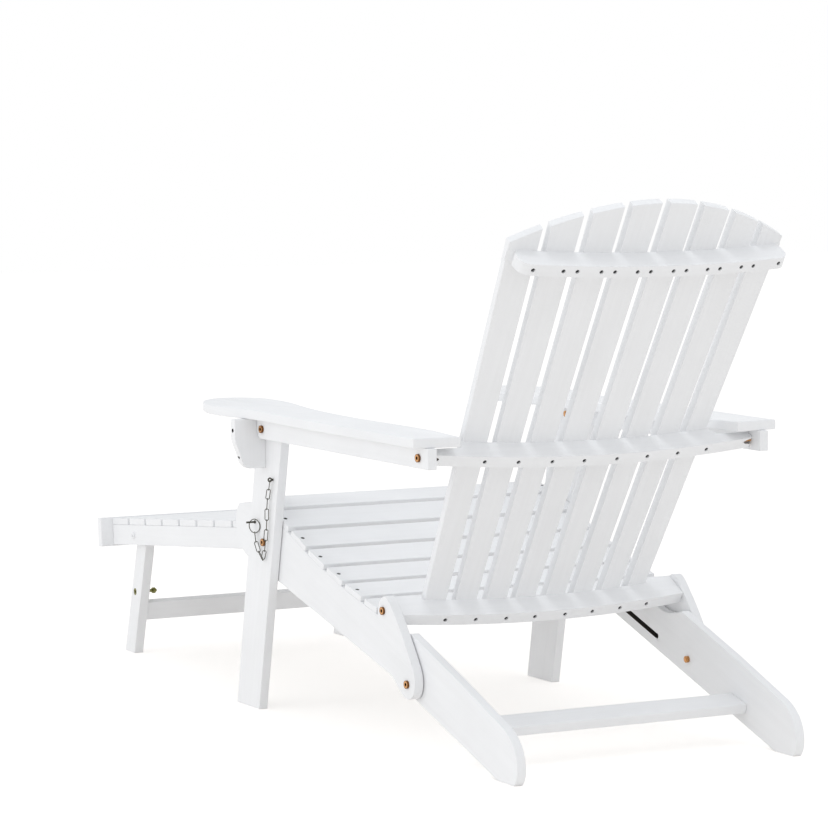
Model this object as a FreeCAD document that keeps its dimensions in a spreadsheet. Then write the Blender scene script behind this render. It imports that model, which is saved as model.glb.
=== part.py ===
import FreeCAD, Part
import math
import os
from FreeCAD import Placement, Rotation, Vector

os.makedirs("parts", exist_ok=True)
doc = FreeCAD.newDocument("chair")
sheet = doc.addObject("Spreadsheet::Sheet", "Sizes")

# All lengths are in millimetres and all angles in degrees. The side profiles are drawn in (y, z) with y
# counted from the line of the rear feet, and moved so that the middle of the length is at zero.
sizes = {
    "rear_reach": 785.064,
    "board": 16.5,
    "rail_inner": 270,
    "layer_gap": 1,
    "side_gap": 0.5,
    "rear_gap": 1.5,
    "bolt_radius": 3,
    "bolt_fit": 0.05,
    "bolt_head_radius": 6.6,
    "bolt_head_height": 3.5,
    "bolt_socket": 3,
    "nut_radius": 5.6,
    "nut_height": 5,
    "screw_radius": 2,
    "screw_length": 30,
    "back_screw_length": 48,
    "back_screw_sink": 3,
    "screw_head_radius": 3.4,
    "screw_head_height": 2.5,
    "screw_fit": 0.1,
    "seat_slat_thickness": 10,
    "seat_slat_gap": 12,
    "rear_stretcher_width": 48,
    "slot_width": 9,
    "slot_rise": 23,
    "guide_radius": 4,
    "back_angle": 60.1,
    "back_slat_thickness": 15,
    "back_bow": 17,
    "brace_depth": 42,
    "brace_thickness": 20,
    "slat_width_low": 38.5,
    "slat_width_high": 50.5,
    "fold_play": 4.2,
    "arm_lift": 510,
    "arm_pivot_drop": 17,
    "arm_pivot_ahead": 12.8,
    "footrest_drop": 5.47,
    "footrest_rail_depth": 38,
    "footrest_slat_thickness": 12,
    "footrest_slat_gap": 8,
    "footrest_pitch": 75,
    "footrest_first_slat": 78,
    "footrest_length": 700,
    "footrest_leg_thickness": 18.5,
    "hinge_set": 96,
    "apron_half": 275.5,
    "apron_height": 55,
    "leg_stretcher_depth": 36,
    "pin_radius": 1.7,
    "pin_reach": 17,
    "pin_collar": 2.8,
    "ring_radius": 11.8,
    "ring_wire": 0.8,
    "link_wire": 0.7,
    "link_half_width": 3.8,
    "link_gap": 0.3,
}
for row, (name, number) in enumerate(sizes.items(), 1):
    sheet.set("A%d" % row, name)
    sheet.set("B%d" % row, str(number))
    sheet.setAlias("B%d" % row, name)
doc.recompute()


def size(name):
    return float(getattr(sheet, name))


board = size("board")
shift = size("rear_reach")
rail_in = size("rail_inner")
rail_out = rail_in + board
leg_in = rail_out + size("layer_gap")
leg_out = leg_in + board
arm_in = leg_out + size("layer_gap")
arm_out = arm_in + board
rear_out = rail_in - size("rear_gap")
rear_in = rear_out - board
foot_rail_out = rear_in - size("layer_gap")
foot_rail_in = foot_rail_out - board
foot_leg_out = foot_rail_in - size("side_gap")
foot_leg_in = foot_leg_out - size("footrest_leg_thickness")
bolt_hole = size("bolt_radius") + size("bolt_fit")

# The back has its own frame: s up along the slats and n forward, from the screw line of the top brace.
lean = math.radians(size("back_angle"))
top_line = (-27, 796)

# Pivots and bolts of the left side frame, as (y, z).
lift = size("arm_lift")
pivot_z = lift - size("arm_pivot_drop")
pivot_n = size("arm_pivot_ahead")
pivot_s = (pivot_z - top_line[1] - pivot_n * math.cos(lean)) / math.sin(lean)
leg_seat = (-800, 294)
leg_arm = (-769, pivot_z)
arm_back = (top_line[0] + pivot_s * math.cos(lean) - pivot_n * math.sin(lean), pivot_z)
back_seat = (-399, 225)
rear_seat = (-317, 115.5)
pin_point = (-832, 326)
eye_point = (-763, 406)

side_turn = Rotation(Vector(0, 1, 0), Vector(0, 0, 1), Vector(1, 0, 0), "XYZ")
flat_turn = Rotation()
nodes = []


def keep(item, label):
    item.Label = label
    nodes.append(item)
    return item


def at(x, point):
    """World position of a side profile point at distance x from the middle plane."""
    return Vector(x, point[0] + shift, point[1])


def draw(sketch, path):
    """Closed outline from plain points, and lists of points for curves that start at the point before."""
    corners = []
    for piece in path:
        corners.append(piece if isinstance(piece, list) else [piece])
    first = corners[0][0]
    here = first
    for piece in corners[1:] + [[first]]:
        start = Vector(here[0], here[1], 0)
        if len(piece) == 1:
            end = Vector(piece[0][0], piece[0][1], 0)
            if start.distanceToPoint(end) > 0.001:
                sketch.addGeometry(Part.LineSegment(start, end))
        else:
            curve = Part.BSplineCurve()
            curve.interpolate([start] + [Vector(p[0], p[1], 0) for p in piece])
            sketch.addGeometry(curve)
        here = piece[-1]


def plate(name, path, thickness, placement, circles=(), inner=()):
    """Flat board: an outline with round holes and inner outlines, pulled out by a named thickness."""
    sketch = doc.addObject("Sketcher::SketchObject", name + "_outline")
    draw(sketch, path)
    for point, radius in circles:
        sketch.addGeometry(Part.Circle(Vector(point[0], point[1], 0), Vector(0, 0, 1), radius))
    for hole in inner:
        draw(sketch, hole)
    sketch.Placement = placement
    pull = doc.addObject("Part::Extrusion", name)
    pull.Base = sketch
    pull.DirMode = "Normal"
    pull.setExpression("LengthFwd", "Sizes." + thickness)
    pull.Solid = True
    pull.FaceMakerClass = "Part::FaceMakerBullseye"
    sketch.Visibility = False
    return pull


def side_board(name, path, x, circles=(), inner=(), thickness="board"):
    """Board of the left side frame whose inner face lies at x."""
    return plate(name, path, thickness, Placement(Vector(x, shift, 0), side_turn), circles, inner)


def mirror(source, label):
    other = doc.addObject("Part::Mirroring", label)
    other.Source = source
    other.Normal = Vector(1, 0, 0)
    other.Base = Vector(0, 0, 0)
    return other


def pair(source, label):
    """Keep a left piece and its mirror image."""
    keep(source, label + "_l")
    keep(mirror(source, label + "_r"), label + "_r")


def cut(name, base, tool):
    result = doc.addObject("Part::Cut", name)
    result.Base = base
    result.Tool = tool
    return result


def fuse(name, items):
    result = doc.addObject("Part::MultiFuse", name)
    result.Shapes = items
    return result


def group(name, items):
    result = doc.addObject("Part::Compound", name)
    result.Links = items
    return result


def rod(name, start, direction, radius, length):
    """Round bar from a start point; radius and length are sheet names or numbers."""
    bar = doc.addObject("Part::Cylinder", name)
    for field, given in (("Radius", radius), ("Height", length)):
        if isinstance(given, str):
            bar.setExpression(field, given)
        else:
            setattr(bar, field, given)
    bar.Placement = Placement(start, Rotation(Vector(0, 0, 1), direction))
    return bar


def bolt(name, face, direction, length):
    """Socket head bolt: the head stands on the face, the shank runs along the direction."""
    back = direction * -1
    shank = rod(name + "_shank", face, direction, "Sizes.bolt_radius", length)
    head = rod(name + "_head", face, back, "Sizes.bolt_head_radius", "Sizes.bolt_head_height")
    socket = doc.addObject("Part::Prism", name + "_socket")
    socket.Polygon = 6
    socket.setExpression("Circumradius", "Sizes.bolt_socket")
    socket.setExpression("Height", "Sizes.bolt_head_height")
    socket_floor = face + back * (size("bolt_head_height") / 3)
    socket.Placement = Placement(socket_floor, Rotation(Vector(0, 0, 1), back))
    return cut(name, fuse(name + "_body", [shank, head]), socket)


def nut(name, face, direction):
    """Round barrel of a nut on a face, around a shank."""
    body = rod(name + "_body", face, direction, "Sizes.nut_radius", "Sizes.nut_height")
    bore = rod(name + "_bore", face, direction, "Sizes.bolt_radius + Sizes.bolt_fit", "Sizes.nut_height")
    return cut(name, body, bore)


def screw(name, mouth, direction, sink, length="screw_length"):
    """Countersunk screw whose head lies below the mouth of its hole; returns the screw and its hole."""
    seat = mouth + direction * sink
    head = rod(name + "_head", seat, direction, "Sizes.screw_head_radius", "Sizes.screw_head_height")
    shank = rod(name + "_shank", seat, direction, "Sizes.screw_radius", "Sizes." + length)
    made = fuse(name, [head, shank])
    wide = size("screw_head_radius") + size("screw_fit")
    narrow = size("screw_radius") + size("screw_fit")
    reach = sink + size("screw_head_height")
    outer = rod(name + "_mouth", mouth - direction, direction, wide, reach + 1)
    inner = rod(name + "_bore", seat, direction, narrow, size(length) + size("screw_fit"))
    return made, fuse(name + "_hole", [outer, inner])


def drilled(name, base, holes):
    return cut(name, base, group(name + "_holes", holes))


# Seat rails: concave boards with facets for the slats, a round nose and a lobe at the rear bolt.
seat_line = [
    (-884, 354.5), (-804, 341.5), (-738, 314.5), (-674, 288.5),
    (-606, 265.5), (-541, 245.5), (-472, 228.5), (-418, 216),
]
rail_path = seat_line + [
    [(-414, 237), (-405, 246), (-394, 249.5), (-382, 244), (-366, 228), (-348, 208), (-328, 183), (-306, 153),
     (-295, 134), (-293, 114), (-302, 96), (-320, 91), (-342, 101), (-375, 123)],
    (-773, 226),
    (-890, 256),
    [(-922, 270), (-942, 300), (-944, 330), (-931, 348.5)],
    (-905, 352),
]
rail_bores = [(leg_seat, bolt_hole), (back_seat, bolt_hole), (rear_seat, bolt_hole)]
seat_rail = side_board("seat_rail_blank", rail_path, rail_in, rail_bores)

# Seat slats lie on the facets and reach to the outer faces of the rails; two screws hold each.
seat_screws = []
seat_holes = []
seat_slats = []
for number in range(7):
    front = seat_line[number]
    rear = seat_line[number + 1]
    run = math.hypot(rear[0] - front[0], rear[1] - front[1])
    tilt = math.degrees(math.atan2(rear[1] - front[1], rear[0] - front[0]))
    turn = Rotation(Vector(1, 0, 0), tilt)
    along = turn.multVec(Vector(0, 1, 0))
    upward = turn.multVec(Vector(0, 0, 1))
    slat = doc.addObject("Part::Box", "seat_slat_blank_%d" % (number + 1))
    slat.setExpression("Length", "2 * (Sizes.rail_inner + Sizes.board)")
    slat.setExpression("Width", "%.4f - Sizes.seat_slat_gap" % run)
    slat.setExpression("Height", "Sizes.seat_slat_thickness")
    slat.Placement = Placement(at(-rail_out, front) + along * (size("seat_slat_gap") / 2), turn)
    centre = (front[0] + (rear[0] - front[0]) / 2, front[1] + (rear[1] - front[1]) / 2)
    holes = []
    # The narrow strip in front of the back shows no screws.
    for side in (1, -1) if number < 6 else ():
        mouth = at(side * (rail_in + board / 2), centre) + upward * size("seat_slat_thickness")
        made, hole = screw("seat_screw_%d_%d" % (number, side + 1), mouth, upward * -1, 0.3)
        seat_screws.append(made)
        holes.append(hole)
    seat_holes.extend(holes)
    seat_slats.append(drilled("seat_slat_%d" % (number + 1), slat, holes) if holes else slat)
for number, slat in enumerate(seat_slats, 1):
    keep(slat, "seat_slat_%d" % number)
left_holes = group("seat_holes_left", seat_holes[0::2])
pair(cut("seat_rail", seat_rail, left_holes), "seat_rail")
keep(group("seat_screw_group", seat_screws), "seat_screws")


# Rear legs: long boards inside the seat rails, from the heel to the front, with the footrest slot.
def under(y):
    """Height of the lower edge of the rear leg."""
    return 88 - 0.335 * (y + 322)


slope = math.atan(0.335)
slot_half = size("slot_width") / 2
slot_rear = (-415, under(-415) + size("slot_rise"))
slot_front = (-856, under(-856) + size("slot_rise"))
rear_path = [
    (-60, 0),
    (-8, 0),
    [(-1, 10), (2, 24), (0, 40), (-7, 57), (-20, 72), (-45, 87)],
    (-185, 140),
    (-340, 194),
    [(-352, 190), (-366, 187.5), (-384, 186.5), (-402, 189)],
    (-472, 211),
    (-606, 256),
    (-738, 300),
    (-868, 334),
    [(-888, 327), (-897, 305), (-890, under(-890))],
    (-79, under(-79)),
    [(-70, 3), (-60, 0)],
]


def around(centre, radius, start, turn):
    """Points on a circle from a start angle through a turn, in degrees, without the first one."""
    angles = [math.radians(start + turn * step / 12) for step in range(1, 13)]
    return [(centre[0] + radius * math.cos(a), centre[1] + radius * math.sin(a)) for a in angles]


steep = 90 - math.degrees(slope)
slot_path = [
    around(slot_rear, slot_half, steep + 1, -1)[-1],
    around(slot_rear, slot_half, steep, -180),
    around(slot_front, slot_half, steep - 179, -1)[-1],
    around(slot_front, slot_half, steep - 180, -180),
]
rear_bores = [(leg_seat, bolt_hole), (rear_seat, bolt_hole)]
pair(side_board("rear_leg", rear_path, rear_in, rear_bores, [slot_path]), "rear_leg")

# Stretcher between the rear legs, a flat board with the slope of the legs.
stretcher = doc.addObject("Part::Box", "rear_stretcher")
stretcher.setExpression("Length", "2 * (Sizes.rail_inner - Sizes.rear_gap - Sizes.board)")
stretcher.setExpression("Width", "Sizes.rear_stretcher_width")
stretcher.setExpression("Height", "Sizes.board")
stretcher_turn = Rotation(Vector(1, 0, 0), -15)
stretcher.Placement = Placement(at(-rear_in, (-190, 62)), stretcher_turn)
keep(stretcher, "rear_stretcher")

# Frame bolts: leg to seat, rear leg to seat and back to seat, on both sides.
inward = Vector(-1, 0, 0)
frame_bolts = []
for name, point, face, tip in (
    ("leg_bolt", leg_seat, leg_out, rear_in + 0.5),
    ("back_bolt", back_seat, rail_out, 232),
    ("rear_bolt", rear_seat, rail_out, rear_in - 6),
):
    made = bolt(name, at(face, point), inward, face - tip)
    frame_bolts.extend([made, mirror(made, name + "_other")])
rear_nut = nut("rear_nut", at(rear_in, rear_seat), inward)
frame_bolts.extend([rear_nut, mirror(rear_nut, "rear_nut_other")])
keep(group("frame_bolt_group", frame_bolts), "frame_bolts")

# Front legs: tapered boards that lean back; the top slopes so that the arm can swing over it.
top = lift - size("side_gap")
shoulder = top - 41.5
shoulder_y = -820 + 0.188 * shoulder
leg_path = [
    (-907, 0),
    (-820, 0),
    (shoulder_y, shoulder),
    (shoulder_y + 2.5, top - 28),
    (-777, top),
    (-821, top),
]
eye_hole = size("screw_radius") + size("screw_fit")
leg_holes = [(leg_seat, bolt_hole), (leg_arm, bolt_hole)]
front_leg = side_board("front_leg", leg_path, leg_in, leg_holes)

# Corbels: brackets across the legs under the arms, screwed to the legs from their outer edges.
corbel_path = [
    (leg_out, top),
    (363, top),
    (363, top - 33.5),
    [(359, top - 46.5), (353, top - 61.5), (348, top - 75.5), (340, top - 83.5), (330, top - 85.5)],
    (leg_out, top - 85.5),
]
corbel_turn = Rotation(Vector(1, 0, 0), Vector(0, 0, 1), Vector(0, -1, 0), "XYZ")
corbel = plate("corbel_blank", corbel_path, "board", Placement(Vector(0, shift - 790, 0), corbel_turn))
corbel_screws = []
corbel_holes = []
for number, (edge, level) in enumerate(((363, top - 19.5), (351, top - 64.5))):
    mouth = Vector(edge, shift - 790 - board / 2, level)
    deep = edge - leg_out - 20
    made, hole = screw("corbel_screw_%d" % number, mouth, inward, deep)
    corbel_screws.extend([made, mirror(made, "corbel_screw_other_%d" % number)])
    corbel_holes.append(hole)
corbel_drill = group("corbel_drill", corbel_holes)
pair(cut("corbel", corbel, corbel_drill), "corbel")
keep(group("corbel_screw_group", corbel_screws), "corbel_screws")

# Lock pin through the left front leg, with a collar and a cross hole for its ring. The ring leans
# against the pin, turned to the side and down.
outward = Vector(1, 0, 0)
pin_play = 0.2
pin_length = board + size("pin_reach") - pin_play
pin_body = rod("pin_body", at(leg_in + pin_play, pin_point), outward, "Sizes.pin_radius", pin_length)
pin_collar = rod("pin_collar", at(leg_out + pin_play, pin_point), outward, "Sizes.pin_collar", 1.5)
ring_side = Vector(-0.42, 0.907, 0)
ring_lean = math.radians(29)
ring_hang = at(leg_out + 10.33, pin_point)
ring_down = ring_side * math.cos(ring_lean) - Vector(0, 0, math.sin(ring_lean))
ring_along = ring_side * math.sin(ring_lean) + Vector(0, 0, math.cos(ring_lean))
cross = rod("pin_cross", ring_hang - ring_along * 6, ring_along, size("ring_wire") + 0.25, 12)
keep(cut("lock_pin", fuse("pin_whole", [pin_body, pin_collar]), cross), "lock_pin")
ring = doc.addObject("Part::Torus", "pin_ring")
ring.setExpression("Radius1", "Sizes.ring_radius")
ring.setExpression("Radius2", "Sizes.ring_wire")
ring_turn = Rotation(Vector(0, 0, 1), ring_side.cross(Vector(0, 0, 1)))
ring.Placement = Placement(ring_hang + ring_down * size("ring_radius"), ring_turn)
keep(ring, "pin_ring")
pin_bore = "Sizes.pin_radius + Sizes.bolt_fit"
pin_hole = rod("pin_hole", at(leg_in - 1, pin_point), outward, pin_bore, board + 2)

# Corbel screws and the eye screw also bite into the leg, so the leg gets their holes.
chain_x = leg_out + 6
eye_shank = rod("eye_shank", at(leg_out - 10, eye_point), outward, "Sizes.screw_radius", 12.5)
eye_loop = doc.addObject("Part::Torus", "eye_loop")
eye_loop.Radius1 = 3
eye_loop.Radius2 = 1.3
eye_loop.Placement = Placement(at(chain_x, eye_point), Rotation(Vector(0, 0, 1), Vector(0, 1, 0)))
keep(fuse("chain_eye_body", [eye_shank, eye_loop]), "chain_eye")
eye_bore = rod("eye_bore", at(leg_out - 10.1, eye_point), outward, eye_hole, 12)
left_leg = cut("front_leg_left", front_leg, group("leg_holes_left", [pin_hole, eye_bore] + corbel_holes))
keep(left_leg, "front_leg_l")
plain_leg = cut("front_leg_plain", front_leg, corbel_drill)
keep(mirror(plain_leg, "front_leg_right"), "front_leg_r")


# Chain: oval wire links between joint points, turned a quarter from link to link.
chain_turn = Vector(-0.876, 0.482, 0)
link_spare = size("link_wire") + size("link_gap") / 2


def link_shape(start, end, flat):
    wire = size("link_wire")
    half = size("link_half_width") - wire
    axis = end - start
    axis.normalize()
    straight = (end - start).Length / 2 + link_spare - half
    middle = (start + end) * 0.5
    ends = []
    for sign in (1, -1):
        bend = Part.makeTorus(half, wire, Vector(0, 0, 0), Vector(0, 0, 1), 0, 360, 180)
        bend.Placement = Placement(Vector(straight * sign, 0, 0), Rotation(Vector(0, 0, 1), -90 * sign))
        ends.append(bend)
    for sign in (1, -1):
        side = Part.makeCylinder(wire, 2 * straight, Vector(-straight, half * sign, 0), Vector(1, 0, 0))
        ends.append(side)
    shape = ends[0].multiFuse(ends[1:])
    across = chain_turn if flat else chain_turn.cross(axis)
    shape.Placement = Placement(middle, Rotation(axis, across.cross(axis), across, "XYZ"))
    return shape


joints = [
    (-762.9, 404.55), (-767.5, 388.6), (-772.4, 372.5), (-775.2, 354.1), (-775.4, 335.6), (-777.4, 318.2),
    (-780.3, 299.6), (-784.3, 281.1), (-791.5, 266.5), (-806.5, 277.5), (-817.5, 293), (-822.6, 309.45),
]
spots = [at(chain_x, joint) for joint in joints]
ways = [(spots[number + 1] - spots[number]).normalize() for number in range(len(spots) - 1)]
links = []
for number, way in enumerate(ways):
    start = spots[number]
    end = spots[number + 1]
    flat = number % 2 == 0
    # A link in the plane of the curve takes the ends of its neighbours on its middle line.
    if flat and number > 0:
        start = start + (ways[number - 1] - way) * link_spare
    if flat and number + 1 < len(ways):
        end = end + (way - ways[number + 1]) * link_spare
    links.append(link_shape(start, end, flat))
chain = doc.addObject("Part::Feature", "chain")
chain.Shape = Part.makeCompound(links)
keep(chain, "chain")

# Arms: a paddle board on a rail; the rail turns on the leg bolt and carries the back on the rear bolt.
low = lift - 34
arm_end = arm_back[0] + 30
arm_rail_path = [
    (arm_end, lift),
    (-789, lift),
    (-789, pivot_z),
    [(-788.2, pivot_z - 5.6), (-785.3, pivot_z - 11.6), (-780, pivot_z - 16.4)],
    (-779, low),
    (arm_end, low),
]
arm_rail = side_board("arm_rail", arm_rail_path, arm_in, [(leg_arm, bolt_hole), (arm_back, bolt_hole)])
pair(arm_rail, "arm_rail")
arm_path = [
    (342, arm_end - 10),
    (262, arm_end - 2),
    (247, -296),
    [(247, -421), (250, -548), (243, -690), (227, -800), (212, -880), (210, -940), (219, -986),
     (246, -1012), (278, -1019), (307, -1007), (329, -984), (346, -950), (357, -905), (358, -858),
     (346, -806), (340, -746), (342, -662), (344, -580), (344, -476)],
]
arm_turn = Placement(Vector(0, shift, lift), flat_turn)
arm_board = plate("arm_board", arm_path, "board", arm_turn)
pair(arm_board, "arm_board")
leg_bolt = bolt("arm_leg_bolt", at(arm_out + 0.3, leg_arm), inward, arm_out + 0.3 - leg_in + 6)
leg_nut = nut("arm_leg_nut", at(leg_in, leg_arm), inward)
keep(group("arm_leg_group", [leg_bolt, mirror(leg_bolt, "arm_leg_bolt_other"), leg_nut,
                             mirror(leg_nut, "arm_leg_nut_other")]), "arm_leg_bolts")
rear_arm_bolt = bolt("arm_back_bolt", at(arm_out, arm_back), inward, arm_out - 268)
rear_arm_other = mirror(rear_arm_bolt, "arm_back_bolt_other")
keep(group("arm_back_group", [rear_arm_bolt, rear_arm_other]), "arm_back_bolts")

# Back: fanned slats on three braces, in the frame of the back.
up = Vector(0, math.cos(lean), math.sin(lean))
ahead = Vector(0, -math.sin(lean), math.cos(lean))
back_origin = at(0, top_line)
bow = size("back_bow")
depth = size("brace_depth")
thick = size("brace_thickness")
low_x = [29, 83, 139, 194]
high_x = [33, 97.5, 163.5, 227]
low_s = -674
middle_s = pivot_s - 2.1


def bulge(x):
    return bow * (1 - (x / 250.0) ** 2)


def slat_x(number, s):
    """Middle of a slat at height s; slats 0 to 3 are on the left from the outside in."""
    side = 1 if number < 4 else -1
    place = 3 - number if number < 4 else number - 4
    return side * (high_x[place] + (high_x[place] - low_x[place]) * s / -low_s)


def slat_width(s):
    rise = size("slat_width_high") - size("slat_width_low")
    return size("slat_width_high") + rise * s / -low_s


def slat_line(number):
    """Rear face of a slat in the (x, n) plane: a point and the slope there."""
    x = slat_x(number, middle_s)
    return x, depth - bulge(x), 2 * bow * x / 250.0 ** 2


def crown(x):
    return 99 - 64 * (x / 232.0) ** 2


back_screws = []
back_holes = {}
brace_holes = {"bottom": [], "middle": [], "top": []}
for number in range(8):
    x, n, grade = slat_line(number)
    stretch = math.hypot(1, grade)
    wide = Vector(1 / stretch, 0, 0) + ahead * (grade / stretch)
    face = ahead * (1 / stretch) - Vector(grade / stretch, 0, 0)
    foot_s = low_s - 10
    tip_s = crown(slat_x(number, 80))

    def edge(s, sign):
        return (slat_x(number, s) - x) * stretch + sign * slat_width(s) / 2

    tips = []
    for sign in (-1, 1):
        s = tip_s
        for turn in range(6):
            s = crown(x + edge(s, sign) / stretch)
        tips.append((edge(s, sign), s))
    peak = crown(slat_x(number, tip_s))
    path = [
        (edge(foot_s, -1), foot_s),
        (edge(foot_s, 1), foot_s),
        tips[1],
        [((tips[0][0] + tips[1][0]) / 2, peak), tips[0]],
    ]
    place = Placement(back_origin + Vector(x, 0, 0) + ahead * n, Rotation(wide, up, face, "XYZ"))
    blank = plate("back_slat_blank_%d" % (number + 1), path, "back_slat_thickness", place)
    holes = []
    for name, s, half in (("bottom", low_s, 0), ("middle", middle_s, 0), ("top", 0, 12)):
        outer_slat = number in (0, 7)
        spots = [0] if half == 0 or outer_slat else [-half, half]
        for spot in spots:
            sx = slat_x(number, s) + spot
            mouth = back_origin + Vector(sx, 0, 0) + up * s - ahead * (bulge(sx) + 0.5)
            label = "back_screw_%s_%d_%d" % (name, number, spot + 12)
            made, hole = screw(label, mouth, ahead, size("back_screw_sink"), "back_screw_length")
            back_screws.append(made)
            holes.append(hole)
            brace_holes[name].append(hole)
    back_holes[number] = holes
    keep(drilled("back_slat_%d" % (number + 1), blank, holes), "back_slat_%d" % (number + 1))


def brace_path(s, ends, half):
    """Brace outline in (x, n): bowed rear edge out to half, round corners, ends and slat facets."""
    front = []
    for number in range(8):
        x, n, grade = slat_line(number)
        middle = slat_x(number, s)
        right = slat_x(number + 1, s) if number < 7 else None
        left = slat_x(number - 1, s) if number > 0 else None
        high = (middle + left) / 2 if left is not None else middle + slat_width(s) / 2 + 1
        low = (middle + right) / 2 if right is not None else middle - slat_width(s) / 2 - 1
        front.append((high, n + grade * (high - x)))
        front.append((low, n + grade * (low - x)))
    places = [-half * math.cos(step * math.pi / 8) for step in range(9)]
    rear = [(x, -bulge(x)) for x in places]
    mirrored = [(-x, n) for x, n in reversed(ends)]
    wide = ends[0][0] - half
    if wide == 0:
        return [rear[0], rear[1:]] + ends + front + mirrored
    deep = ends[0][1] + bulge(half)
    turns = [math.radians(angle) for angle in (22.5, 45, 67.5)]
    corner = [(half + wide * math.sin(turn), ends[0][1] - deep * math.cos(turn)) for turn in turns]
    other = [(-x, n) for x, n in reversed(corner)]
    return [rear[0], rear[1:], corner + [ends[0]]] + ends[1:] + front + mirrored + [other + [rear[0]]]


def brace(name, s, ends, half):
    low_face = back_origin + up * (s - thick / 2)
    turn = Rotation(Vector(1, 0, 0), ahead * -1, up, "XYZ")
    path = []
    for piece in brace_path(s, ends, half):
        if isinstance(piece, list):
            path.append([(p[0], -p[1]) for p in piece])
        else:
            path.append((piece[0], -piece[1]))
    return plate(name + "_brace_blank", path, "brace_thickness", Placement(low_face, turn))


side_gap = size("side_gap")
bottom_half = rail_in - side_gap
bottom = brace("bottom", low_s, [(bottom_half, 52), (223, 52)], bottom_half)
pivot_holes = []
for side in (1, -1):
    hole = rod("back_pivot_hole_%d" % (side + 1), at(side * 228, back_seat), Vector(side, 0, 0),
               "Sizes.bolt_radius + Sizes.bolt_fit", 60)
    pivot_holes.append(hole)
keep(drilled("bottom_brace", bottom, brace_holes["bottom"] + pivot_holes), "bottom_brace")
middle_half = arm_in - side_gap
middle = brace("middle", middle_s, [(middle_half, 24), (241, 24)], middle_half)
play_holes = []
for side in (1, -1):
    hole = rod("fold_play_hole_%d" % (side + 1), at(side * 264, arm_back), Vector(side, 0, 0),
               "Sizes.bolt_radius + Sizes.fold_play", 60)
    play_holes.append(hole)
keep(drilled("middle_brace", middle, brace_holes["middle"] + play_holes), "middle_brace")
top_brace = brace("top", 0, [(246, 16), (246, 30), (240, 38)], 224)
keep(drilled("top_brace", top_brace, brace_holes["top"]), "top_brace")
keep(group("back_screw_group", back_screws), "back_screws")

# Footrest: rails that hang on the guide bolts, slats on top and an apron as the pull, drawn as pulled out.
drop = math.radians(size("footrest_drop"))
guide = slot_front
half_rail = size("footrest_rail_depth") / 2


def rest(d, h):
    """Side profile point at distance d in front of the guide bolt and h above the rail's middle line."""
    y = guide[0] - d * math.cos(drop) - h * math.sin(drop)
    z = guide[1] - d * math.sin(drop) + h * math.cos(drop)
    return (y, z)


reach = size("footrest_length")
knee = 0.7 * half_rail
rail_rest = [
    rest(reach, half_rail),
    rest(0, half_rail),
    [rest(-knee, knee), rest(-half_rail, 0), rest(-knee, -knee), rest(0, -half_rail)],
    rest(reach, -half_rail),
]
leg_hinge = rest(reach - size("hinge_set"), -1.2)
guide_hole = size("guide_radius") + size("bolt_fit")
rest_bores = [(guide, guide_hole), (leg_hinge, bolt_hole)]
rest_rail = side_board("footrest_rail_blank", rail_rest, foot_rail_in, rest_bores)
rest_turn = Rotation(Vector(1, 0, 0), math.degrees(drop))
rest_up = rest_turn.multVec(Vector(0, 0, 1))
first_slat = size("footrest_first_slat")
rest_screws = []
rest_holes = []
for number in range(9):
    ahead_d = reach if number == 0 else reach - first_slat - (number - 1) * size("footrest_pitch")
    wide = first_slat if number == 0 else size("footrest_pitch")
    slat = doc.addObject("Part::Box", "footrest_slat_blank_%d" % (number + 1))
    slat.Length = 2 * foot_rail_out
    slat.Width = wide - size("footrest_slat_gap")
    slat.setExpression("Height", "Sizes.footrest_slat_thickness")
    slat.Placement = Placement(at(-foot_rail_out, rest(ahead_d, half_rail)), rest_turn)
    holes = []
    for side in (1, -1):
        across = ahead_d - (wide - size("footrest_slat_gap")) / 2
        spot = rest(across, half_rail + size("footrest_slat_thickness"))
        mouth = at(side * (foot_rail_in + board / 2), spot)
        made, hole = screw("rest_screw_%d_%d" % (number, side + 1), mouth, rest_up * -1, 0.3)
        rest_screws.append(made)
        holes.append(hole)
    rest_holes.extend(holes)
    keep(drilled("footrest_slat_%d" % (number + 1), slat, holes), "footrest_slat_%d" % (number + 1))
pair(cut("footrest_rail", rest_rail, group("rest_holes_left", rest_holes[0::2])), "footrest_rail")
keep(group("rest_screw_group", rest_screws), "footrest_screws")
apron = doc.addObject("Part::Box", "footrest_apron")
apron.setExpression("Length", "2 * Sizes.apron_half")
apron.setExpression("Width", "Sizes.board")
apron.setExpression("Height", "Sizes.apron_height")
apron.Placement = Placement(at(-size("apron_half"), rest(reach + board, -half_rail - 3.3)), rest_turn)
keep(apron, "footrest_apron")

# Guide bolts: they turn in the rails and run in the slots of the rear legs.
guide_tip = rear_out - 1
guide_shank = rod("guide_shank", at(foot_rail_in - 3, guide), outward, "Sizes.guide_radius",
                  guide_tip - foot_rail_in + 3)
guide_head = rod("guide_head", at(foot_rail_in - 0.3, guide), inward, 7, 3.5)
guide_bolt = fuse("guide_bolt", [guide_shank, guide_head])
keep(group("guide_bolt_group", [guide_bolt, mirror(guide_bolt, "guide_bolt_other")]), "guide_bolts")

# Footrest legs with their stretcher; they swing up under the slats about the round tops. A bolt with a nut
# goes through each leg above the stretcher.
hinge_y, hinge_z = leg_hinge
knee_z = hinge_z - 28
leg_lean = 0.267
foot_front = hinge_y - 81
foot_rear = hinge_y - 39
leg_rest_path = [
    (foot_front, 0),
    (foot_rear, 0),
    (foot_rear + leg_lean * knee_z, knee_z),
    around(leg_hinge, 17, -6, 1)[-1],
    around(leg_hinge, 17, -5, 180),
    (foot_front + leg_lean * knee_z, knee_z),
]


def on_leg(z, back):
    """Point of a footrest leg at height z, at a distance behind the middle line."""
    return ((foot_front + foot_rear) / 2 + leg_lean * z + back, z)


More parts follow.
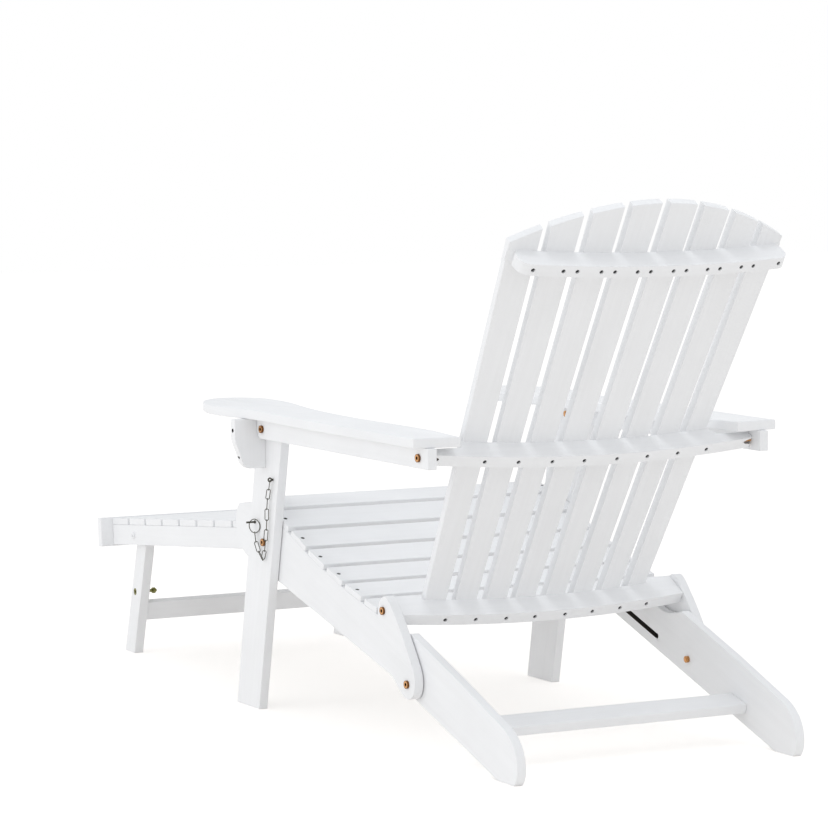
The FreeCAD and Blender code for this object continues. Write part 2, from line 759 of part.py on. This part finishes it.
nut_spot = on_leg(0.515 * hinge_z, -5.5)
rest_leg_bores = [(leg_hinge, bolt_hole), (nut_spot, bolt_hole)]
rest_leg = side_board("footrest_leg_blank", leg_rest_path, foot_leg_in, rest_leg_bores,
                      thickness="footrest_leg_thickness")
head_floor = foot_leg_out - size("bolt_head_height") - 0.5
sink_radius = "Sizes.bolt_head_radius + Sizes.screw_fit"
head_sink = rod("leg_bolt_sink", at(head_floor, nut_spot), outward, sink_radius, 6)
pair(cut("footrest_leg", rest_leg, head_sink), "footrest_leg")
bar = doc.addObject("Part::Box", "footrest_leg_stretcher")
bar.Length = 2 * foot_leg_in
bar.setExpression("Width", "Sizes.board")
bar.setExpression("Height", "Sizes.leg_stretcher_depth")
bar_turn = Rotation(Vector(1, 0, 0), -math.degrees(math.atan(leg_lean)))
bar_middle = bar_turn.multVec(Vector(0, board / 2, size("leg_stretcher_depth") / 2))
bar.Placement = Placement(at(-foot_leg_in, on_leg(0.36 * hinge_z, 5.5)) - bar_middle, bar_turn)
keep(bar, "footrest_leg_stretcher")
nut_face = foot_leg_in - 17.5
leg_nut_bolt = bolt("leg_nut_bolt", at(head_floor, nut_spot), inward, head_floor - nut_face + 8)
rest_nut = nut("rest_nut", at(nut_face, nut_spot), inward)
keep(group("leg_nut_group", [leg_nut_bolt, mirror(leg_nut_bolt, "leg_nut_bolt_other"), rest_nut,
                             mirror(rest_nut, "rest_nut_other")]), "footrest_leg_bolts")
hinge_bolt = bolt("hinge_bolt", at(foot_rail_out, leg_hinge), inward, foot_rail_out - foot_leg_in + 6)
hinge_nut = nut("hinge_nut", at(foot_leg_in - 0.3, leg_hinge), inward)
keep(group("hinge_bolt_group", [hinge_bolt, mirror(hinge_bolt, "hinge_bolt_other"), hinge_nut,
                                mirror(hinge_nut, "hinge_nut_other")]), "footrest_pivot_bolts")

doc.recompute()
for item in doc.Objects:
    if "Invalid" in item.State or "Error" in item.State:
        raise RuntimeError("object failed: " + item.Name)
for item in nodes:
    shape = item.Shape
    if shape.isNull() or not shape.isValid():
        raise RuntimeError("bad shape: " + item.Label)
    shape.exportStep("parts/%s.step" % item.Label)
print("pieces:", len(nodes))
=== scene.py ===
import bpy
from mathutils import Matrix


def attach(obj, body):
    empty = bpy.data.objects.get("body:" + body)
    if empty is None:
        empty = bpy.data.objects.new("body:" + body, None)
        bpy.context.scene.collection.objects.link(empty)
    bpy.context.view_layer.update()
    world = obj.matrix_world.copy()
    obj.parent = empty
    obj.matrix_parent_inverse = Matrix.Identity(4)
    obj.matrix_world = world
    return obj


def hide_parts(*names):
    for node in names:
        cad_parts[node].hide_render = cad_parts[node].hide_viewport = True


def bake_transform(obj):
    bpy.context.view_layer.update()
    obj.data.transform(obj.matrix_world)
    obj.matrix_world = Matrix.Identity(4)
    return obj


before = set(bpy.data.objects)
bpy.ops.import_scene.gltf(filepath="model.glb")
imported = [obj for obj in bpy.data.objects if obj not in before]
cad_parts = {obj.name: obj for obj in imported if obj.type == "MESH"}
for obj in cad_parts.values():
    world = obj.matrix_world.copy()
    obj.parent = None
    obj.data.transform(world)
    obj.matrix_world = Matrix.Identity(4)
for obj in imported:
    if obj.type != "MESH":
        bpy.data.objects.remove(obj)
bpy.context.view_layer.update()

import math

import bmesh
import bpy
import numpy as np
from mathutils import Matrix, Vector

scene = bpy.context.scene
scene.view_settings.view_transform = "Standard"

# Viewpoint: a long lens behind the chair's left rear corner, a little above the arms, as in the
# photograph. The picture is square, and the eye point was worked out from the feet and the bolts.
eye = Vector((3.043378, 5.500658, 1.070006))
turn, rise = math.radians(151.179), math.radians(5.147)
behind = Vector((math.sin(turn) * math.cos(rise), -math.cos(turn) * math.cos(rise), math.sin(rise)))
right = Vector((0, 0, 1)).cross(behind).normalized()
upright = behind.cross(right)
lens = bpy.data.cameras.new("viewpoint")
lens.sensor_width, lens.lens, lens.clip_end = 36.0, 156.55, 60.0
viewpoint = bpy.data.objects.new("viewpoint", lens)
axes = Matrix((right, upright, behind)).transposed()
viewpoint.matrix_world = Matrix.Translation(eye) @ axes.to_4x4()
scene.collection.objects.link(viewpoint)
scene.camera = viewpoint

# Seat rails: two softwood side boards, sawn to a concave seat line with a round nose and a lobe for the
# rear bolt. The edges are eased with sandpaper, and two brushed coats of white paint let the grain show
# faintly. Where the slot of the rear leg lies over the inner face, shade is painted on that face in a near-black
# colour.
PAINT_WHITE = (0.90, 0.907, 0.918, 1)
PAINT_THIN = (0.845, 0.85, 0.858, 1)


def plug(tree, value, socket):
    """Feed a socket with a number, a colour or the output of another node."""
    if isinstance(value, bpy.types.NodeSocket):
        tree.links.new(value, socket)
    else:
        socket.default_value = value


def put(tree, kind, **given):
    """A new node of a material. A name in small letters is a setting of the node, and the other names are its
    sockets, with _ for a space."""
    node = tree.nodes.new("ShaderNode" + kind)
    for name, value in given.items():
        if name[0].islower():
            setattr(node, name, value)
        else:
            plug(tree, value, node.inputs[name.replace("_", " ")])
    return node


def reckon(tree, kind, *values):
    """One step of arithmetic on numbers and sockets."""
    step = put(tree, "Math", operation=kind)
    for value, socket in zip(values, step.inputs):
        plug(tree, value, socket)
    return step.outputs[0]


def ranged(tree, value, source, target):
    """Carry a value in a straight line from one range to another, and hold it at both ends."""
    spread = put(tree, "MapRange", Value=value, From_Min=source[0], From_Max=source[1],
                 To_Min=target[0], To_Max=target[1])
    return spread.outputs["Result"]


def mixed(tree, share, first, second, blend="MIX"):
    """Lay the second colour over the first by a share from 0 to 1."""
    tone = put(tree, "Mix", data_type="RGBA", blend_type=blend, Factor=share, A=first, B=second)
    return tone.outputs["Result"]


def fresh(name):
    """A new material and its node tree, which is still empty."""
    made = bpy.data.materials.new(name)
    made.use_nodes = True
    made.node_tree.nodes.clear()
    return made, made.node_tree


def brushed_paint(name):
    """White paint over softwood. The grain attribute runs along the board (x), across (y) and through it (z),
    in metres: long noise streaks give raised growth rings, finer ones the brush marks, and a slow cloud
    changes the cover and the gloss."""
    paint, tree = fresh(name)
    lie = put(tree, "Attribute", attribute_name="grain").outputs["Vector"]

    def streaks(scale, detail, rough):
        """Noise with so many waves in a metre along the board, across it and through it."""
        stretch = put(tree, "Mapping", Vector=lie, Scale=scale)
        noise = put(tree, "TexNoise", Vector=stretch.outputs["Vector"], Scale=1.0, Detail=detail,
                    Roughness=rough)
        return noise.outputs["Fac"]

    rings = streaks(scale=(5, 170, 120), detail=4, rough=0.55)
    brush = streaks(scale=(14, 1100, 1100), detail=2, rough=0.5)
    cloud = streaks(scale=(9, 16, 16), detail=3, rough=0.5)
    thin_on_rings = ranged(tree, rings, (0.35, 0.75), (0.0, 0.36))
    thin_in_cloud = ranged(tree, cloud, (0.3, 0.7), (0.0, 0.45))
    thin = reckon(tree, "ADD", thin_on_rings, thin_in_cloud)
    ridges = put(tree, "Bump", Strength=0.22, Distance=0.0006, Height=rings)
    marks = put(tree, "Bump", Strength=0.15, Distance=0.00025, Height=brush,
                Normal=ridges.outputs["Normal"])
    skin = put(tree, "BsdfPrincipled", IOR=1.45, Specular_IOR_Level=0.35,
               Base_Color=mixed(tree, thin, PAINT_WHITE, PAINT_THIN),
               Roughness=ranged(tree, cloud, (0.3, 0.7), (0.38, 0.56)),
               Normal=marks.outputs["Normal"])
    put(tree, "OutputMaterial", Surface=skin.outputs["BSDF"])
    return paint


white_paint = brushed_paint("white_paint")

SAME_POINT = 2e-6
ONE_PLANE = math.radians(0.4)


def merged(node):
    """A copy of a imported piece's loose triangles, with the points that coincide joined."""
    solid = bmesh.new()
    solid.from_mesh(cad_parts[node].data)
    bmesh.ops.remove_doubles(solid, verts=solid.verts, dist=SAME_POINT)
    return solid


def flat_faced(node):
    """The same copy, with the triangles of each plane joined into one face."""
    solid = merged(node)
    bmesh.ops.dissolve_limit(solid, angle_limit=ONE_PLANE, verts=solid.verts, edges=solid.edges)
    return solid


def as_mesh(solid, name):
    """Write such a copy into a new mesh."""
    mesh = bpy.data.meshes.new(name)
    solid.to_mesh(mesh)
    solid.free()
    return mesh


def new_piece(name, mesh, material):
    """Put a mesh with its material into the scene, at the origin."""
    mesh.materials.append(material)
    piece = bpy.data.objects.new(name, mesh)
    scene.collection.objects.link(piece)
    return piece


LONGEST_FACET, SHORTEST_SLOT = 0.005, 0.3
FACET_BEND, CORNER_BEND = 0.12, 0.6


def bored(edge):
    """True for the rim of a hole or a slot: the edge is as short as a facet of a hole or as long as a side of
    the slot, and the narrow wall beside it bends inwards at both ends of the edge."""
    if LONGEST_FACET < edge.calc_length() < SHORTEST_SLOT:
        return False
    wall = min(edge.link_faces, key=lambda face: face.calc_area())
    ends = [other for other in wall.edges if other != edge and set(other.verts) & set(edge.verts)]
    return all(other.calc_face_angle(0) > FACET_BEND and not other.is_convex for other in ends)


def sawn(node, ease):
    """The board as it is imported, in flat faces. Each edge that bends more than CORNER_BEND, in radians, is
    marked for rounding, unless it is the rim of a bored hole or a slot. Rims stay sharp, and so do all
    corners of a board that isn't eased."""
    solid = flat_faced(node)
    rounding = solid.edges.layers.float.new("bevel_weight_edge")
    for corner in solid.edges:
        sharp = corner.calc_face_angle(0) > CORNER_BEND
        rim = sharp and bored(corner)
        corner[rounding] = float(sharp and not rim)
        corner.smooth = not (rim or sharp and ease == 0)
    return as_mesh(solid, node + "_board")


def points_of(mesh):
    """The places of a mesh's points, one row each."""
    flat = np.empty(len(mesh.vertices) * 3, np.float32)
    mesh.vertices.foreach_get("co", flat)
    return flat.reshape(-1, 3)


ACROSS_LIMIT = 0.7
GRAIN_STARTS, GRAIN_STEP = 97, np.array((0.37, 0.11, 0.05))


def lay_grain(mesh, node, along):
    """Give every point its distance along the board, across it and through it. The board's name picks one of
    97 starts in the wood, so that neighbours don't share their grain."""
    run = np.asarray(along, float) / np.linalg.norm(along)
    side = np.array((1.0, 0, 0)) if abs(run[0]) < ACROSS_LIMIT else np.array((0, 1.0, 0))
    side = side - run * (side @ run)
    side = side / np.linalg.norm(side)
    lie = points_of(mesh) @ np.stack((run, side, np.cross(run, side)), axis=1)
    lie = lie + (sum(map(ord, node)) % GRAIN_STARTS) * GRAIN_STEP
    grain = mesh.attributes.new("grain", "FLOAT_VECTOR", "POINT")
    grain.data.foreach_set("vector", lie.astype(np.float32).ravel())


def shade_smooth(mesh):
    """Let the shading run smoothly over all faces."""
    mesh.polygons.foreach_set("use_smooth", [True] * len(mesh.polygons))


EASE = 0.0014


def painted_board(node, body, along, ease=EASE, shape=None, paint=white_paint):
    """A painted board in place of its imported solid. Its marked edges are rounded by ease, unless it comes as a
    ready shape, and the flat faces keep flat shading beside the rounded edges."""
    mesh = sawn(node, ease) if shape is None else shape
    shade_smooth(mesh)
    lay_grain(mesh, node, along)
    board = new_piece(node + "_board", mesh, paint)
    if ease and shape is None:
        eased = board.modifiers.new("eased", "BEVEL")
        eased.width, eased.segments, eased.limit_method = ease, 2, "WEIGHT"
        eased.use_clamp_overlap = False
    level = board.modifiers.new("level", "WEIGHTED_NORMAL")
    level.keep_sharp = True
    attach(board, body)
    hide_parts(node)
    return board


# Painted shade: a near-black colour for the hollows of the slots and screw holes, standing in for the shadow in
# them.
PAINTED_SHADE = (0.035, 0.026, 0.021, 1)
SLOT_FALL, SLOT_LEVEL = 0.335, 0.26612
STRIP_HALF, STRIP_FRONT, STRIP_REAR, STRIP_SIDE = 0.0058, -0.0754, 0.3746, 0.2745


def skin_of(material):
    """The shader of a material."""
    return next(part for part in material.node_tree.nodes if part.type == "BSDF_PRINCIPLED")


def paint_shade_behind_slot(paint):
    """Paint shade on the inner face of the rail behind the slot: points nearer to the middle plane than
    STRIP_SIDE, between the slot's ends and within STRIP_HALF of its middle line. That line is SLOT_LEVEL high
    at y = 0 and drops SLOT_FALL for each unit to the rear."""
    tree, skin = paint.node_tree, skin_of(paint)
    painted = skin.inputs["Base Color"].links[0].from_socket
    place = put(tree, "TexCoord").outputs["Object"]
    across, back, up = put(tree, "SeparateXYZ", Vector=place).outputs
    height = reckon(tree, "ADD", up, reckon(tree, "MULTIPLY", back, SLOT_FALL))
    near = reckon(tree, "COMPARE", height, SLOT_LEVEL, STRIP_HALF)
    inner = reckon(tree, "LESS_THAN", reckon(tree, "ABSOLUTE", across), STRIP_SIDE)
    behind_front = reckon(tree, "GREATER_THAN", back, STRIP_FRONT)
    before_rear = reckon(tree, "LESS_THAN", back, STRIP_REAR)
    run = reckon(tree, "MULTIPLY", behind_front, before_rear)
    shaded = reckon(tree, "MULTIPLY", reckon(tree, "MULTIPLY", near, inner), run)
    plug(tree, mixed(tree, shaded, painted, PAINTED_SHADE), skin.inputs["Base Color"])
    return paint


rail_paint_and_shade = paint_shade_behind_slot(brushed_paint("rail_paint_and_shade"))
seat_run = (0, 0.94, -0.32)
for node in ("seat_rail_l", "seat_rail_r"):
    painted_board(node, "chair", seat_run, paint=rail_paint_and_shade)

# Rear legs: long boards bolted inside the seat rails, from the rounded heel on the floor up to the front,
# with the slot that guides the footrest. They are of the same painted softwood, and the slot's walls get a
# near-black painted shade in place of the shadow inside it.
recess_shade = bpy.data.materials.new("recess_shade")
recess_shade.use_nodes = True
skin_of(recess_shade).inputs["Base Color"].default_value = PAINTED_SHADE
skin_of(recess_shade).inputs["Roughness"].default_value = 0.8
WALL_REACH, WALL_FRONT, WALL_REAR, WALL_TILT = 0.006, -0.08, 0.38, 0.5


def faces_of(mesh):
    """The middle points and the normals of a mesh's faces, one row each."""
    middles = np.empty(len(mesh.polygons) * 3, np.float32)
    normals = np.empty_like(middles)
    mesh.polygons.foreach_get("center", middles)
    mesh.polygons.foreach_get("normal", normals)
    return middles.reshape(-1, 3), normals.reshape(-1, 3)


def paint_shade_on_faces(mesh, walls):
    """Give the painted shade to the faces that a yes-or-no array marks."""
    mesh.materials.append(recess_shade)
    mesh.polygons.foreach_set("material_index", walls.astype(np.int32))


for node in ("rear_leg_l", "rear_leg_r"):
    leg = painted_board(node, "chair", seat_run).data
    middles, normals = faces_of(leg)
    off_line = np.abs(middles[:, 2] + SLOT_FALL * middles[:, 1] - SLOT_LEVEL)
    in_run = (middles[:, 1] > WALL_FRONT) & (middles[:, 1] < WALL_REAR)
    paint_shade_on_faces(leg, (np.abs(normals[:, 0]) < WALL_TILT) & (off_line < WALL_REACH) & in_run)

# Rear stretcher: a flat board that fits between the rear legs and slopes as they do. It is of the same
# painted softwood with the grain from side to side, and no fixing of it shows.
across_run = (1, 0, 0)
painted_board("rear_stretcher", "chair", across_run)

# Seat slats: six softwood boards across the rails, each held by two countersunk screws, and a narrow strip
# without screws in front of the back. They have the paint of the rails, with the grain from side to side.
for number in range(1, 8):
    painted_board("seat_slat_%d" % number, "chair", across_run)

# Seat screws: zinc-plated countersunk steel screws, driven flush from above into the rails. The plating is
# dull and dark from the weather and from the paint brush around them.
GLOSSIEST, ROUGHEST = 0.08, 0.12


def metal(name, colour, dark, roughness, fine):
    """Worked metal: noise with so many waves in a metre moves the colour between bright and dark, shifts the
    roughness from GLOSSIEST below its middle value to ROUGHEST above it, and breaks up the highlights."""
    steel, tree = fresh(name)
    place = put(tree, "TexCoord").outputs["Object"]
    noise = put(tree, "TexNoise", Vector=place, Scale=fine, Detail=4).outputs["Fac"]
    grit = put(tree, "Bump", Strength=0.15, Distance=0.0001, Height=noise)
    gloss = ranged(tree, noise, (0.0, 1.0), (roughness - GLOSSIEST, roughness + ROUGHEST))
    skin = put(tree, "BsdfPrincipled", Metallic=1.0, Base_Color=mixed(tree, noise, colour, dark),
               Roughness=gloss, Normal=grit.outputs["Normal"])
    put(tree, "OutputMaterial", Surface=skin.outputs["BSDF"])
    return steel


def finish(node, material):
    """Give an imported fitting its material."""
    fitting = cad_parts[node]
    fitting.data.materials.clear()
    fitting.data.materials.append(material)


dull_zinc = metal("dull_zinc", colour=(0.11, 0.11, 0.11, 1), dark=(0.035, 0.035, 0.035, 1),
                  roughness=0.5, fine=900)
finish("seat_screws", dull_zinc)

# Frame bolts: bronze-coloured steel bolts with a hex socket, at the joints of the folding frame and the rear
# legs, some with a nut inside. The socket carries painted shade, and the rim of the head a painted contact
# shadow.
# Painted shade: near-black in the socket, and a darker brown as a contact shadow at the rim of the head.
SOCKET_SHADE_STOPS = ((0.45, (0.05, 0.035, 0.025, 1)), (0.52, (1, 1, 1, 1)),
                (0.8, (1, 1, 1, 1)), (0.93, (0.32, 0.26, 0.22, 1)))


def shade_socket_and_rim(steel):
    """Multiply the metal's colour by a ramp over the off_axis share: painted shade in the socket, unchanged on
    the ring around it and a painted shadow at the rim, with straight changes between."""
    tree, skin = steel.node_tree, skin_of(steel)
    bright = skin.inputs["Base Color"].links[0].from_socket
    away = put(tree, "Attribute", attribute_name="off_axis").outputs["Fac"]
    shade = put(tree, "ValToRGB", Fac=away)
    stops = shade.color_ramp.elements
    stops[0].position, stops[1].position = SOCKET_SHADE_STOPS[0][0], SOCKET_SHADE_STOPS[1][0]
    for share, _ in SOCKET_SHADE_STOPS[2:]:
        stops.new(share)
    for stop, (_, colour) in zip(stops, SOCKET_SHADE_STOPS):
        stop.color = colour
    socket_and_rim_shade = mixed(tree, 1.0, bright, shade.outputs["Color"], blend="MULTIPLY")
    plug(tree, socket_and_rim_shade, skin.inputs["Base Color"])
    return steel


bronze = shade_socket_and_rim(metal("bronze", colour=(0.80, 0.45, 0.18, 1), dark=(0.45, 0.2, 0.08, 1),
                            roughness=0.34, fine=420))


def edge_ends(mesh):
    """The two point numbers of each edge, one row each."""
    ends = np.empty(len(mesh.edges) * 2, np.int32)
    mesh.edges.foreach_get("vertices", ends)
    return ends.reshape(-1, 2)


def shells_of(mesh):
    """The number of the closed shell that each point is on: the lowest point number is handed along the edges
    until nothing changes."""
    ends = edge_ends(mesh)
    lowest = np.arange(len(mesh.vertices))
    while True:
        handed = lowest.copy()
        for end in (0, 1):
            np.minimum.at(handed, ends[:, end], lowest[ends].min(axis=1))
        if (handed == lowest).all():
            return np.unique(lowest, return_inverse=True)[1]
        lowest = handed


HEAD_RADIUS, HEAD_REACH, RING_SHARE = 0.0066, 0.006, 0.7


def turned(node, body, material):
    """Bolts that lie across the chair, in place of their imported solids. Every point of a head keeps its
    distance from the middle line of its own bolt, as a share of HEAD_RADIUS, and the points further in than
    HEAD_REACH count as the bright ring."""
    mesh = as_mesh(merged(node), node + "_turned")
    points, shell = points_of(mesh), shells_of(mesh)
    low = np.full((shell.max() + 1, 3), np.inf)
    high = -low
    np.minimum.at(low, shell, points)
    np.maximum.at(high, shell, points)
    off = (points - ((low + high) / 2)[shell])[:, 1:]
    outer = np.maximum(np.abs(low), np.abs(high))[shell, 0]
    on_head = np.abs(points[:, 0]) > outer - HEAD_REACH
    share = np.where(on_head, np.hypot(off[:, 0], off[:, 1]) / HEAD_RADIUS, RING_SHARE)
    off_axis = mesh.attributes.new("off_axis", "FLOAT", "POINT")
    off_axis.data.foreach_set("value", share.astype(np.float32))
    bolts = new_piece(node + "_turned", mesh, material)
    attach(bolts, body)
    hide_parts(node)


turned("frame_bolts", "chair", bronze)

# Front legs: tapered softwood boards that lean back and stand outside the seat rails, each on one bolt in
# the rail, with the arm bolt at the top. They are painted as the rest.
leg_run = (0, 0.18, 0.98)
for node in ("front_leg_l", "front_leg_r"):
    painted_board(node, "front_legs", leg_run)

# Corbels: sawn brackets across the front legs that carry the wide part of the arms, screwed from outside.
# The screws lie deep in holes, and the walls of the holes get a near-black painted shade.
SCREW_LINE, SCREW_LEVELS = -0.0132, (0.49, 0.445)
HOLE_REACH, HOLE_TILT = 0.004, 0.3
for node in ("corbel_l", "corbel_r"):
    bracket = painted_board(node, "front_legs", (0, 0, 1)).data
    middles, normals = faces_of(bracket)
    off_axis = np.min([np.hypot(middles[:, 1] - SCREW_LINE, middles[:, 2] - level) for level in SCREW_LEVELS],
                      axis=0)
    paint_shade_on_faces(bracket, (np.abs(normals[:, 0]) < HOLE_TILT) & (off_axis < HOLE_REACH))
dark_zinc = metal("dark_zinc", colour=(0.1, 0.1, 0.1, 1), dark=(0.03, 0.03, 0.03, 1), roughness=0.5, fine=900)
finish("corbel_screws", dark_zinc)

# Lock pin: a dark steel pin with a wire ring, kept by a short chain of wire links on a screw eye in the left
# leg.
chain_steel = metal("chain_steel", colour=(0.15, 0.145, 0.125, 1), dark=(0.05, 0.047, 0.036, 1),
                    roughness=0.34, fine=260)
for node in ("chain_eye", "lock_pin", "pin_ring"):
    finish(node, chain_steel)
chain_mesh = as_mesh(merged("chain"), "chain_links")
shade_smooth(chain_mesh)
chain = new_piece("chain_links", chain_mesh, chain_steel)
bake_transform(chain)
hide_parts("chain")

# Arms: a softwood rail bolted to the leg and the back, with a broad paddle board on top. The rail is sawn
# straight, and the edges of the paddle are rounded more than those of the other boards.
ARM_EASE = 0.0022
EASE_TURNS = np.radians((0, 22.5, 45, 67.5, 90))
STRAIGHT_ON = 0.85


def rounded_plate(node, ease):
    """A flat board of one thickness: the outline of its largest face is walked once around, and rings of points
    follow it. Each ring is set in by ease * (1 - sin a) and lowered by ease * (1 - cos a), with a from 0 to 90
    degrees, at that face and, mirrored, at the opposite one. Where the outline turns so far that the cosine
    is under STRAIGHT_ON, the corner between the rings stays sharp."""
    solid = flat_faced(node)
    face = max(solid.faces, key=lambda face: face.calc_area())
    corners = np.array([point.co for point in face.verts])
    up = np.array(face.normal) / np.linalg.norm(face.normal)
    depth = -min((np.array([point.co for point in solid.verts]) - corners[0]) @ up)
    solid.free()
    wide = np.array((1.0, 0, 0)) - up * up[0]
    wide = wide / np.linalg.norm(wide)
    tall = np.cross(up, wide)
    outline = np.stack(((corners - corners[0]) @ wide, (corners - corners[0]) @ tall), axis=1)
    run = np.roll(outline, -1, 0) - outline
    run = run / np.linalg.norm(run, axis=1, keepdims=True)
    out = np.stack((run[:, 1], -run[:, 0]), axis=1)
    before = np.roll(out, 1, 0)
    bend = (out * before).sum(1)
    miter = (out + before) / (1 + bend[:, None])
    levels = [(ease * (1 - math.sin(a)), -ease * (1 - math.cos(a))) for a in EASE_TURNS]
    levels += [(inset, -depth - height) for inset, height in reversed(levels)]
    rings = []
    for inset, height in levels:
        flat = outline - miter * inset
        rings.append(corners[0] + flat[:, :1] * wide + flat[:, 1:] * tall + height * up)
    count = len(outline)
    ring, spot = np.meshgrid(np.arange(len(rings) - 1) * count, np.arange(count), indexing="ij")
    after = (spot + 1) % count
    quads = np.stack((ring + spot, ring + count + spot, ring + count + after, ring + after), axis=2)
    top = np.arange(count)
    bottom = top[::-1] + (len(rings) - 1) * count
    mesh = bpy.data.meshes.new(node + "_board")
    mesh.from_pydata(np.concatenate(rings).tolist(), [],
                     quads.reshape(-1, 4).tolist() + [top.tolist(), bottom.tolist()])
    ends = edge_ends(mesh) % count
    sharp = (ends[:, 0] == ends[:, 1]) & (bend < STRAIGHT_ON)[ends[:, 0]]
    mesh.edges.foreach_set("use_edge_sharp", sharp)
    return mesh


arm_run = (0, 1, 0)
for node in ("arm_rail_l", "arm_rail_r"):
    painted_board(node, "arms", arm_run)
for node in ("arm_board_l", "arm_board_r"):
    painted_board(node, "arms", arm_run, shape=rounded_plate(node, ARM_EASE))
turned("arm_leg_bolts", "front_legs", bronze)
turned("arm_back_bolts", "arms", bronze)

# Back: eight tapered slats in a fan, screwed from behind to three bowed braces. The slats are planed flat and
# eased, the braces keep the sharp edges of the saw, and the dark screws lie sunk in the braces.
slat_run = (0, 0.4985, 0.8669)
for number in range(1, 9):
    node = "back_slat_%d" % number
    painted_board(node, "back", slat_run, shape=rounded_plate(node, EASE))
for node in ("bottom_brace", "middle_brace", "top_brace"):
    painted_board(node, "back", across_run, ease=0)
finish("back_screws", dark_zinc)

# Footrest: two rails that hang on the guide bolts, nine slats screwed on top and an apron at the front as the
# pull. It is of the same painted softwood, and the bolts run in the slots of the rear legs.
rest_run = (0, 0.995, 0.095)
for node in ("footrest_rail_l", "footrest_rail_r"):
    painted_board(node, "footrest", rest_run)
for number in range(1, 10):
    painted_board("footrest_slat_%d" % number, "footrest", across_run)
painted_board("footrest_apron", "footrest", across_run)
finish("footrest_screws", dull_zinc)
finish("guide_bolts", dull_zinc)

# Footrest legs: short softwood boards that swing up under the slats on their pivot bolts, joined by a
# stretcher. The pivot bolts were painted over together with the rails.
rest_leg_run = (0, 0.26, 0.966)
for node in ("footrest_leg_l", "footrest_leg_r"):
    painted_board(node, "footrest_legs", rest_leg_run)
painted_board("footrest_leg_stretcher", "footrest_legs", across_run)
finish("footrest_pivot_bolts", brushed_paint("bolt_paint"))

# Footrest leg bolts: yellow-passivated steel bolts with the head sunk in the leg, each with a nut on its bare
# inner end. The yellow is uneven and has worn down to dark metal in places.
brass = metal("brass", colour=(0.36, 0.35, 0.13, 1), dark=(0.07, 0.07, 0.02, 1), roughness=0.32, fine=420)
finish("footrest_leg_bolts", brass)

# Studio: a white floor that keeps the soft shadow, a white surround, a broad light on the chair's left
# side, a narrow strip over the seat and the back, and a weaker, warmer light behind.
FLOOR_REACH = 14.0
FLOOR_COLOUR = (0.9, 0.872, 0.84, 1)
FLOOR_GLOW = (0.08, 0.36)
FILL_COLOUR, FILL_STRENGTH = (0.962, 0.978, 1.0, 1), 0.88


def background_rays(tree):
    """1 for the rays that show the background: straight from the camera, mirrored in metal or through glass."""
    path = put(tree, "LightPath").outputs
    mirrored = reckon(tree, "MAXIMUM", path["Is Camera Ray"], path["Is Glossy Ray"])
    return reckon(tree, "MAXIMUM", mirrored, path["Is Transmission Ray"])


floor_white, tree = fresh("floor_white")
matt = put(tree, "BsdfDiffuse", Color=FLOOR_COLOUR)
glow = put(tree, "Emission", Strength=ranged(tree, background_rays(tree), (0.0, 1.0), FLOOR_GLOW))
both = put(tree, "AddShader")
for socket, shader in zip(both.inputs, (matt, glow)):
    plug(tree, shader.outputs[0], socket)
put(tree, "OutputMaterial", Surface=both.outputs[0])
floor_mesh = bpy.data.meshes.new("floor")
floor_corners = [(x * FLOOR_REACH, y * FLOOR_REACH, 0) for x, y in ((-1, -1), (1, -1), (1, 1), (-1, 1))]
floor_mesh.from_pydata(floor_corners, [], [(0, 1, 2, 3)])
floor = new_piece("floor", floor_mesh, floor_white)

surround = bpy.data.worlds.new("surround")
scene.world = surround
surround.use_nodes = True
tree = surround.node_tree
tree.nodes.clear()
fill = put(tree, "Background", Color=FILL_COLOUR, Strength=FILL_STRENGTH)
white = put(tree, "Background", Color=(1, 1, 1, 1), Strength=1.0)
pick = put(tree, "MixShader", Fac=background_rays(tree))
for socket, shader in zip(pick.inputs[1:], (fill, white)):
    plug(tree, shader.outputs[0], socket)
put(tree, "OutputWorld", Surface=pick.outputs[0])


def softbox(name, place, aim, width, power, colour):
    """A square area light that faces a point."""
    lamp = bpy.data.lights.new(name, "AREA")
    lamp.shape, lamp.size, lamp.energy, lamp.color = "SQUARE", width, power, colour
    holder = bpy.data.objects.new(name, lamp)
    holder.location = place
    holder.rotation_euler = (Vector(aim) - Vector(place)).to_track_quat("-Z", "Y").to_euler()
    scene.collection.objects.link(holder)
    return lamp


softbox("side_light", place=(4.4, -0.6, 1.2), aim=(0, 0, 0.5), width=3.0, power=30, colour=(0.985, 0.99, 1.0))
softbox("rear_light", place=(-0.6, 5.0, 1.6), aim=(0, 0, 0.5), width=3.0, power=3, colour=(1.0, 0.985, 0.97))
strip = softbox("top_light", place=(0, 0.65, 2.7), aim=(0, 0.6, 0.3), width=0.5, power=0.6,
                colour=(0.97, 0.985, 1.0))
strip.shape, strip.size_y, strip.spread = "RECTANGLE", 1.7, math.radians(40)
